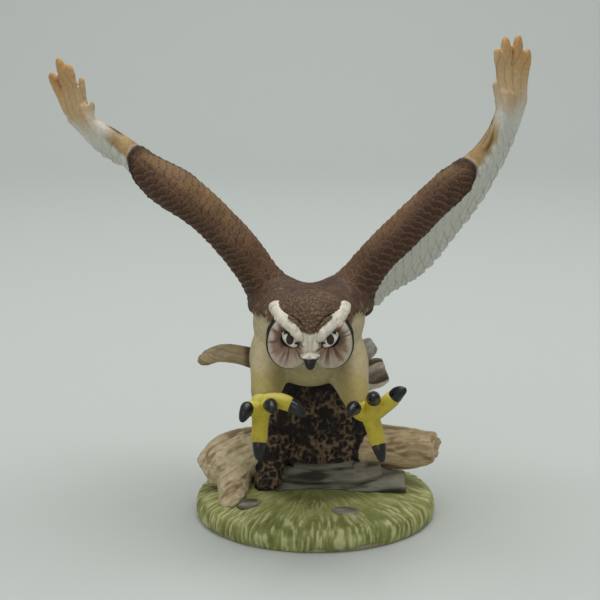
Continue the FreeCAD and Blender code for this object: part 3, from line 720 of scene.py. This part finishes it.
class Face:
    """Where things are on the face, from the CAD nodes: u is the distance from the middle line."""

    def __init__(self):
        self.eyes = {}
        for side in ("left", "right"):
            low, high = [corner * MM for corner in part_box("eye_" + side)]
            self.eyes[side] = (low + high) / 2
        brow = node_points("brow_left", "brow_right")
        self.brow_line = np.polyfit(np.abs(brow[:, 0] - MIDDLE), brow[:, 2], 2)
        low, high = [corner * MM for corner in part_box("beak")]
        self.beak_top = high.z - 2.2
        disc = node_points("face_disc_left")
        self.disc_middle = (np.abs(disc[:, 0] - MIDDLE).min() + np.abs(disc[:, 0] - MIDDLE).max()) / 2
        self.disc_level = (disc[:, 2].min() + disc[:, 2].max()) / 2
        self.disc_wide = 14.7 - self.disc_middle
        self.disc_tall = (disc[:, 2].max() - disc[:, 2].min()) / 2

    def almond(self, points, side):
        """The eye's outline: 1 on the line and less inside it."""
        sign = 1 if side == "left" else -1
        middle = self.eyes[side]
        sideways = (points[:, 0] - middle.x) * sign
        upward = points[:, 2] - middle.z
        along = sideways * math.cos(EYE_SLANT) + upward * math.sin(EYE_SLANT)
        across = -sideways * math.sin(EYE_SLANT) + upward * math.cos(EYE_SLANT)
        reach = np.clip(np.abs(along) / EYE_LONG, 0, 1)
        half = EYE_HIGH * (1 - reach ** 2.2) + 0.05
        return np.maximum(np.abs(across) / half, np.abs(along) / EYE_LONG)

    def inside(self, points):
        """How far a point is inside its facial disc's outline, in mm; negative outside it."""
        across = (np.abs(points[:, 0] - MIDDLE) - self.disc_middle) / self.disc_wide
        upward = (points[:, 2] - self.disc_level) / self.disc_tall
        upward = np.where(upward < 0, upward / 0.80, upward)
        return (1 - np.hypot(across, upward)) * self.disc_wide

    def colour(self, points, crown):
        """The paint of the face: bridge, discs, eye lines and forehead."""
        near = self.inside(points)
        u = np.abs(points[:, 0] - MIDDLE)
        z = points[:, 2]
        eye_u = abs(self.eyes["left"].x - MIDDLE)
        eye_z = self.eyes["left"].z
        rays, far = self.rays(points)
        disc = mix(rgb(140, 112, 92), rgb(190, 178, 160), ramp(near + 1.0 * rays, 2.6, 0.9))
        disc = mix(disc, rgb(196, 182, 164), 0.5 * ramp(z + 2 * rays, eye_z - 4, eye_z - 8))
        disc = mix(disc, rgb(70, 46, 34), 0.75 * ramp(rays, 0.12, 0.45) * ramp(far, 10.5, 4.0))
        outside = ramp(u - eye_u + 0.7 * (z - eye_z), -2, 2)
        disc = mix(disc, rgb(72, 50, 36), 0.7 * ramp(far + 0.8 * rays, 5.6, 3.6) * outside)
        outer = ramp(u, 4.5, 6.5)
        disc = mix(disc, BLACK, outer * ramp(near + 0.12 * rays, 0.50, 0.25))
        rise = z - self.beak_top
        half = 2.1 + 1.0 * ramp(rise, 1.5, 5.5) + 1.4 * ramp(rise, 5.5, 8.0)
        disc = mix(disc, WHITE_BROW, ramp(u + 0.3 * rays, half + 0.45, half - 0.45))
        for side, sign in (("left", 1), ("right", -1)):
            outline = self.almond(points, side)
            here = ramp((points[:, 0] - MIDDLE) * sign, -0.5, 0.5)
            disc = mix(disc, BLACK, here * ramp(outline, 1.24, 1.12))
        return mix(disc, crown, self.over_brow(points))

    def over_brow(self, points):
        """1 over the brows' line, where the brown forehead comes down to a point between them."""
        u = np.abs(points[:, 0] - MIDDLE)
        apex = self.eyes["left"].z + 1.9
        line = np.maximum(np.polyval(self.brow_line, u), apex + 0.2 * u)
        return ramp(points[:, 2] - line, -0.4, 0.6)

    def rays(self, points):
        """Hair strokes that run out from the eye, and the distance from the eye."""
        across = np.abs(points[:, 0] - MIDDLE) - abs(self.eyes["left"].x - MIDDLE)
        upward = points[:, 2] - self.eyes["left"].z
        turn = np.arctan2(upward, across)
        far = np.hypot(across, upward)
        sides = np.sign(points[:, 0] - MIDDLE) * 5
        return noise(np.stack([turn * 8.5, far * 0.16, sides], 1), 1.0, 71), far


def make_face():
    """Head, facial discs, eyes and brows, which are painted across one another's edges."""
    face = Face()
    head = clay("feathered_head", "brown_plumage", "head", 0.36, 10, skin_mesh(node_points("head")))
    lute(head, [BODY], 4.0)
    across = (np.abs(head.points[:, 0] - MIDDLE) - face.disc_middle) / face.disc_wide
    upward = (head.points[:, 2] - face.disc_level) / face.disc_tall
    inside = ramp(np.hypot(across, upward), 1.06, 0.94) * ramp(head.points[:, 1], -24, -30)
    head.points[:, 1] += 1.5 * inside
    head.measure()
    for side in ("left", "right"):
        disc = clay("facial_disc_" + side, "face_disc", "face_disc_" + side, 0.3, 6)
        below = np.minimum(disc.points[:, 2] - face.disc_level, 0)
        disc.points[:, 2] -= 0.20 * below
        disc.measure()
        surface = make_disc(disc, side, face)
        make_eye(side, face, surface)
        make_brow(side, face)
    make_head(head, face)
    make_beak(face)


def make_head(piece, face):
    """The brown crown over the cream throat, with the face painted where the discs end."""
    points = piece.points
    near = face.inside(points)
    ridges = crackle(points, 1.2, 81)
    hairs = strokes(points, (0, -0.4, 1), 0.7, 4.5, 85)
    u = np.abs(points[:, 0] - MIDDLE)
    uneven = 0.65 + 0.35 * noise(points, 5, 82)
    crown_colour = mix(BROWN_DARK, rgb(134, 104, 74), 0.15 + 0.75 * ridges * uneven)
    lower = ramp(points[:, 2] + 1.0 * hairs, 80.0, 77.5)
    colour = mix(CREAM, rgb(190, 194, 160), 0.5 * ramp(u, 9, 2))
    colour = mix(crown_colour, colour, lower)
    front = ramp(points[:, 1], -15, -19)
    colour = mix(colour, BLACK, front * ramp(near, -0.55, -0.3) * ramp(u, 4.5, 6.5) * lower)
    middle = ramp(u, 3.0, 2.4) * ramp(points[:, 2], 68.5, 69.5)
    piece.paint = mix(colour, face.colour(points, crown_colour),
                      front * np.maximum(ramp(near, -0.15, 0.15), middle))
    piece.carve(0.32 * (1 - lower) * (ridges - 0.4) + 0.08 * lower * hairs)
    finish_piece(piece, FEATHER)


def make_disc(piece, side, face):
    """A face disc, hollowed round the eye; returns its skin, which the eye lies on."""
    points = piece.points
    near = face.inside(points)
    crown_colour = mix(BROWN_DARK, rgb(134, 104, 74), 0.15 + 0.6 * crackle(points, 1.2, 81))
    piece.paint = face.colour(points, crown_colour)
    u = np.abs(points[:, 0] - MIDDLE)
    outline = face.almond(points, side)
    rays, _ = face.rays(points)
    frontward = ramp(piece.normals[:, 1], -0.2, -0.7)
    bridge = ramp(u, 4.4, 1.6) * ramp(points[:, 2], face.beak_top - 1, face.beak_top + 2)
    piece.carve(frontward * (-0.7 * ramp(near, 1.8, 4.0) * ramp(u, 1.5, 4.0) - 0.16 * rays
                             + 0.6 * bridge - 0.35 * ramp(outline, 1.5, 1.2)))
    surface = piece.tree()
    finish_piece(piece, MATTE)
    return surface


def make_eye(side, face, surface):
    """An almond of painted porcelain, domed, with its dark pupil."""
    sign = 1 if side == "left" else -1
    middle = face.eyes[side]
    rings, spokes = 26, 96
    rim = []
    for spoke in range(spokes):
        turn = 2 * math.pi * spoke / spokes
        along = EYE_LONG * math.cos(turn)
        half = EYE_HIGH * (1 - abs(math.cos(turn)) ** 2.2) + 0.05
        across = half * math.copysign(min(1, abs(math.sin(turn)) * 1.35), math.sin(turn))
        rim.append((sign * (along * math.cos(EYE_SLANT) - across * math.sin(EYE_SLANT)),
                    along * math.sin(EYE_SLANT) + across * math.cos(EYE_SLANT)))
    # the plane through the disc round the eye, which the eye's edge lies in
    samples = []
    for x, z in rim:
        hit = surface.ray_cast(Vector((middle.x + 1.25 * x, -60, middle.z + 1.25 * z)), Vector((0, 1, 0)))
        if hit[0] is not None:
            samples.append((x * 1.25, z * 1.25, hit[0].y))
    samples = np.array(samples)
    flat = np.column_stack([samples[:, 0], samples[:, 1], np.ones(len(samples))])
    lean_x, lean_z, level = np.linalg.lstsq(flat, samples[:, 2], rcond=None)[0]
    work = bmesh.new()
    rows = []
    for ring in range(rings + 1):
        share = ring / rings
        dome = 0.7 * (1 - share ** 2) + 0.35 if ring < rings else -0.9
        rows.append([work.verts.new((middle.x + x * share, level + lean_x * x * share + lean_z * z * share
                                     - dome, middle.z + z * share)) for x, z in rim])
    for first, second in zip(rows, rows[1:]):
        for spoke in range(spokes):
            after = (spoke + 1) % spokes
            work.faces.new((first[spoke], first[after], second[after], second[spoke]))
    bmesh.ops.remove_doubles(work, verts=rows[0], dist=0.001)
    bmesh.ops.contextual_create(work, geom=rows[-1])
    bmesh.ops.recalc_face_normals(work, faces=work.faces)
    mesh = bpy.data.meshes.new("almond")
    work.to_mesh(mesh)
    work.free()
    piece = Clay("almond_eye_" + side, mesh, ("eye_" + side,), "painted_eye")
    outline = face.almond(piece.points, side)
    pupil = np.hypot((piece.points[:, 0] - middle.x) / 1.3, (piece.points[:, 2] - middle.z) / 1.65)
    colour = mix(rgb(214, 210, 196), rgb(180, 174, 158), ramp(outline, 0.4, 0.85))
    colour = mix(colour, rgb(46, 24, 16), ramp(pupil, 1.08, 0.94))
    colour = mix(colour, BLACK, ramp(outline, 0.80, 0.87))
    piece.paint = colour * np.ones((len(piece.points), 1))
    finish_piece(piece, GLAZE)


def make_brow(side, face):
    """A white brow that swells outwards into its tuft."""
    piece = clay("white_tuft_" + side, "white_brow", "brow_" + side, 0.3, 4)
    points = piece.points
    lumps = cloud(points, 1.8, 91, 2)
    hairs = strokes(points, (1 if side == "left" else -1, 1.2, 1), 0.6, 3.5, 92)
    u = points[:, 0] - MIDDLE
    outward = ramp(np.abs(u), 3.0, 12.5)
    piece.carve(0.30 * lumps + 0.12 * hairs)
    spread = 0.85 * outward - 0.05
    piece.shift(piece.normals * np.stack([spread, 0 * u, spread], 1))
    inner = ramp(np.abs(u), 6.0, 2.0)
    piece.shift(np.stack([-0.13 * u, 0.6 + 1.0 * inner, -1.5 * outward + 0.8 * inner], 1))
    piece.paint = mix(WHITE_BROW, rgb(150, 140, 122), 0.55 * ramp(-lumps, 0.15, 0.6)
                      + 0.25 * ramp(hairs, 0.2, 0.6))
    finish_piece(piece, MATTE)


def make_beak(face):
    """The black beak, made wider and lower than its CAD solid, with white at its root."""
    piece = clay("hooked_beak", "black_beak", "beak", 0.22, 4)
    piece.carve(0.25 + 0.05 * cloud(piece.points, 1.0, 95))
    piece.points[:, 0] = MIDDLE + (piece.points[:, 0] - MIDDLE) * 1.45
    over = np.maximum(piece.points[:, 2] - face.beak_top + 0.3, 0)
    piece.points[:, 2] -= 0.55 * over
    backward = 0.2 + 3.0 * ramp(over, 0, 0.9)
    piece.shift(np.stack([0 * backward, backward, 0.2 + 0 * backward], 1))
    white = ramp(piece.points[:, 2] + 0.3 * noise(piece.points, 1.2, 96), face.beak_top - 0.4,
                 face.beak_top + 0.2)
    piece.paint = mix(BLACK, WHITE_BROW, white)
    finish_piece(piece, GLOSS)


# ------------------------------------------------------------------ ground, rock and wood

def make_base():
    """The grassy mound: blades combed outwards that droop over the rim."""
    piece = clay("grassy_mound", "grass_base", "base_mound", 0.5, 4, skin_mesh(node_points("base_mound")))
    points = piece.points
    low, high = [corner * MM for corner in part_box("base_mound")]
    wide = (high.x - low.x) / 2
    radius = np.hypot(points[:, 0], points[:, 1])
    turn = np.arctan2(points[:, 1], points[:, 0])
    top = high.z
    comb = radius + (top - points[:, 2])
    combed = turn * wide + 1.2 * noise(points, (7, 7, 90), 101)
    flat = np.stack([combed, comb, 0 * comb], 1)
    bent = flat + np.stack([1.6 * noise(flat, (9, 12, 1), 102), 0 * comb, 0 * comb], 1)
    blades = noise(bent / np.array([0.85, 5.0, 1]), 1.0, 103)
    thin = noise(bent / np.array([0.45, 3.5, 1]), 1.0, 104)
    side = ramp(piece.normals[:, 2], 0.95, 0.4)
    upward = ramp(piece.normals[:, 2], -0.6, -0.1)
    rim = ramp(radius, wide * 0.62, wide * 0.80)
    band = rim + 0.5 * np.exp(-((radius - wide * 0.55) / 4) ** 2)
    height = (0.15 + 0.85 * band) * (0.38 * blades + 0.14 * thin) + 0.25 * cloud(points, 6.0, 106)
    piece.carve(upward * height)
    foot_line = low.z + 0.9 + 1.1 * noise(np.stack([turn * 7, turn * 0, turn * 0], 1), 1.0, 107)
    foot_line = foot_line + 0.8 * blades
    under = ramp(points[:, 2], foot_line + 0.4, foot_line - 0.4) * side
    piece.carve(-0.8 * under * upward)
    green = mix(rgb(152, 154, 90), rgb(122, 126, 64), ramp(cloud(points, 7, 108), -0.3, 0.5))
    green = mix(green, rgb(98, 98, 52), 0.7 * ramp(radius, wide * 0.60, wide * 0.40))
    pale = rgb(198, 196, 144)
    strong = np.clip(band, 0, 1)
    green = mix(green, pale, 0.75 * ramp(blades + 0.5 * thin, 0.0, 0.5) * (0.15 + 0.85 * strong))
    green = mix(green, rgb(90, 98, 44), 0.55 * ramp(blades + 0.4 * thin, -0.25, -0.7) * (0.3 + 0.7 * strong))
    green = mix(green, rgb(150, 142, 116), 0.7 * under)
    piece.paint = green
    finish_piece(piece, GRASS)


def make_rock(name, node, voxel=0.35, shade=1.0):
    """Grey rock, drawn out in level strata; shade makes a stone lighter or darker."""
    piece = clay(name, "grey_stone", node, voxel, 14)
    points = piece.points
    strata = noise(points, (16, 12, 1.5), 111)
    piece.carve(0.45 * strata * (1 - np.abs(piece.normals[:, 2])) + 0.5 * cloud(points, (9, 7, 4), 112)
                + 0.12 * cloud(points, 1.6, 113))
    brush = cloud(points, (9, 4.0, 1.4), 114)
    colour = mix(rgb(108, 104, 88), rgb(60, 56, 44), ramp(brush, -0.25, 0.35))
    # painted highlight: lighter grey in patches on the faces that look upward
    piece.paint = mix(colour, rgb(138, 136, 120), 0.7 * ramp(piece.normals[:, 2], 0.4, 0.95)
                      * ramp(cloud(points, (8, 4, 4), 115), -0.3, 0.4)) * shade
    finish_piece(piece, STONE)


def make_trunk():
    """The stump: nearly black bark with a network of pale dry-brushed ridges."""
    low, high = [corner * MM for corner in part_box("trunk")]
    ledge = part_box("rock_ledge")[0] * MM
    toe = ball_chain(((low.x + 8, low.y + 6, low.z + 16, 6.5), (low.x + 5, low.y + 0.5, low.z + 9, 5.5),
                      (ledge.x + 1.5, ledge.y + 5, low.z + 1.0, 4.4)))
    piece = clay("barky_trunk", "dark_bark", "trunk", 0.42, 8, skin_mesh(node_points("trunk"), *toe))
    points = piece.points
    warped = points + 1.1 * np.stack([noise(points, 3.0, 121 + k) for k in range(3)], 1)
    _, border = pebbles(warped, (2.1, 2.1, 2.7), 125)
    ridge = ramp(border + 0.25 * noise(points, 1.0, 126), 0.30, 0.0)
    piece.carve(0.6 * ridge + 0.5 * cloud(points, 3.5, 127) - 0.2)
    # painted shadow under the owl's belly: the pale dry-brushed ridges fade out towards the top of the stump
    light = ramp(points[:, 2], high.z - 6, high.z - 20)
    patchy = ramp(cloud(points, 4.0, 128), -0.25, 0.25)
    colour = mix(rgb(28, 18, 12), rgb(12, 8, 7), ramp(cloud(points, 3, 129), -0.2, 0.4))
    piece.paint = mix(colour, rgb(128, 106, 76), np.clip(0.8 * ridge * patchy * (0.25 + 0.75 * light), 0, 1))
    finish_piece(piece, WOOD)


def make_wood(name, slot, node, direction, light, dark, neighbours=(), voxel=0.4, depth=0.45):
    """A piece of weathered wood, grained along a direction."""
    piece = clay(name, slot, node, voxel, 6)
    lute(piece, neighbours, 4.5)
    points = piece.points
    warped = points + 1.3 * np.stack([noise(points, 6.0, 131 + k) for k in range(3)], 1)
    grain = strokes(warped, direction, 1.5, 22, 135)
    hair = strokes(warped, direction, 0.55, 12, 136)
    groove = ramp(grain, 0.05, -0.45)
    piece.carve(-depth * groove + 0.12 * hair + 0.12 * cloud(points, 3.0, 137))
    colour = mix(light, mix(light, dark, 0.45), ramp(hair, -0.1, 0.5))
    colour = mix(colour, dark, 0.75 * groove * ramp(cloud(points, 6, 138), -0.5, 0.2))
    piece.paint = colour * np.ones((len(points), 1))
    return piece


def along_box(node, sideways=1, backward=0.0, upward=0.0):
    """The way a branch runs: its box's length, and the lean that is asked for."""
    low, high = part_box(node)
    return (sideways * (high.x - low.x) * MM, backward, upward)


def make_wood_pieces(trunk_tree, mound):
    """Root, log, branch, stub and knob, each with its own grain and colours."""
    root = make_wood("gnarled_root", "pale_wood", "root", (-1, -0.55, -0.55), rgb(200, 184, 146),
                     rgb(122, 92, 60), (trunk_tree, mound), depth=0.5)
    dark = ramp(root.points[:, 0], -22, -12)      # in the shade of the trunk
    root.paint = mix(root.paint, rgb(52, 36, 26), 0.7 * dark)
    finish_piece(root, WOOD)
    log = make_wood("broken_log", "pale_wood", "log", along_box("log"), rgb(192, 170, 130),
                    rgb(120, 92, 64), (trunk_tree, mound), depth=0.55)
    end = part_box("log")[1].x * MM
    ragged = ramp(log.points[:, 0], end - 6, end)
    log.carve(ragged * (1.0 + 1.0 * noise(log.points, 4.0, 142)))
    log.shift(np.outer(ragged * 1.2 * strokes(log.points, (1, 0, 0), 1.2, 30, 141), (1, 0, 0)))
    log.paint = mix(log.paint, rgb(60, 42, 30), 0.7 * ramp(log.points[:, 0], 16, 9))
    finish_piece(log, WOOD)
    branch = make_wood("bare_branch", "pale_wood", "branch_right", along_box("branch_right", -1, 0, 10),
                       rgb(178, 160, 124), rgb(138, 112, 80), voxel=0.34, depth=0.25)
    near = ramp(branch.points[:, 0], -27.5, -25.0)
    branch.paint = mix(branch.paint, rgb(70, 54, 26), 0.85 * near)
    finish_piece(branch, WOOD)
    stub = make_wood("curled_stub", "grey_wood", "branch_stub", along_box("branch_stub", 1, 0, 12),
                     rgb(226, 214, 196), rgb(168, 150, 130), voxel=0.3, depth=0.22)
    inward = ramp(stub.normals @ np.array([0.3, -0.5, 0.8]), 0.2, 0.6) * ramp(stub.points[:, 0], 15, 18)
    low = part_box("branch_stub")[0] * MM
    hollow = np.exp(-((stub.points[:, 1] - (low.y + 3.5)) / 3.2) ** 2) * inward
    stub.paint = mix(stub.paint, rgb(92, 80, 52), np.clip(hollow, 0, 1))
    finish_piece(stub, WOOD)
    knob = make_wood("grey_knob", "grey_wood", "branch_knob", along_box("branch_knob", 1, 0, 14),
                     rgb(200, 194, 182), rgb(140, 130, 118), voxel=0.34, depth=0.25)
    finish_piece(knob, WOOD)


# ------------------------------------------------------------------ scene

def studio():
    """A pale sweep, soft light from above and the camera at the photograph's angle."""
    floor_mesh = bpy.data.meshes.new("sweep")
    work = bmesh.new()
    rows = []
    profile = [(-1.6, 0.0), (0.9, 0.0)]
    profile += [(0.9 + 0.5 * math.sin(turn), 0.5 - 0.5 * math.cos(turn))
                for turn in np.linspace(0.1, math.pi / 2, 14)]
    profile += [(1.4, 2.4)]
    for back, height in profile:
        rows.append([work.verts.new((x, back, height)) for x in (-3.0, 3.0)])
    for first, second in zip(rows, rows[1:]):
        work.faces.new((first[0], first[1], second[1], second[0]))
    work.to_mesh(floor_mesh)
    work.free()
    floor_mesh.polygons.foreach_set("use_smooth", [True] * len(floor_mesh.polygons))
    sweep = linked("sweep", floor_mesh)
    paper = bpy.data.materials.new("paper")
    paper.use_nodes = True
    paper.node_tree.nodes["Principled BSDF"].inputs["Base Color"].default_value = (0.52, 0.545, 0.51, 1)
    paper.node_tree.nodes["Principled BSDF"].inputs["Roughness"].default_value = 0.9
    floor_mesh.materials.append(paper)

    world = bpy.data.worlds.new("room")
    world.use_nodes = True
    world.node_tree.nodes["Background"].inputs["Color"].default_value = (0.93, 0.96, 1.0, 1)
    world.node_tree.nodes["Background"].inputs["Strength"].default_value = 0.50
    bpy.context.scene.world = world
    for name, place, aim, size, power in (
            ("overhead", (0.05, 0.10, 1.10), (0, 0.02, 0.05), 0.9, 7.5),
            ("front_fill", (-0.5, -1.1, 0.7), (0, 0, 0.08), 0.8, 1.8),
            ("wall_wash", (0, 0.75, 1.5), (0, 1.4, 0.7), 0.9, 4.0)):
        light = bpy.data.lights.new(name, "AREA")
        light.shape = "SQUARE"
        light.size = size
        light.energy = power
        lamp = bpy.data.objects.new(name, light)
        lamp.location = place
        lamp.rotation_euler = (Vector(aim) - Vector(place)).to_track_quat("-Z", "Y").to_euler()
        bpy.context.scene.collection.objects.link(lamp)

    camera = bpy.data.cameras.new("camera")
    camera.lens = 89
    camera.sensor_width = 36
    camera.clip_end = 20
    viewer = bpy.data.objects.new("camera", camera)
    viewer.location = (-0.0056, -0.520, 0.200)
    aim = Vector((-0.0056, 0, 0.0805))
    viewer.rotation_euler = (aim - viewer.location).to_track_quat("-Z", "Y").to_euler()
    bpy.context.scene.collection.objects.link(viewer)
    bpy.context.scene.camera = viewer
    bpy.context.scene.view_settings.view_transform = "Standard"


studio()
CAPE_LOW, CAPE_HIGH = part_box("mantle")
BODY = body_tree()
make_mantle()
make_breast_and_legs()
make_wing("left", 1)
make_wing("right", -1)
make_tail()
for side in ("left", "right"):
    make_foot(side)
make_face()
make_base()
make_trunk()
mound = Clay("mound_shape", skin_mesh(node_points("base_mound")), (), "").tree()
make_wood_pieces(Clay("trunk_shape", skin_mesh(node_points("trunk")), (), "").tree(), mound)
make_rock("rock_shelf", "rock_ledge")
make_rock("side_pebble", "stone_side", 0.25, 1.9)
make_rock("front_pebble", "stone_front", 0.25, 1.9)
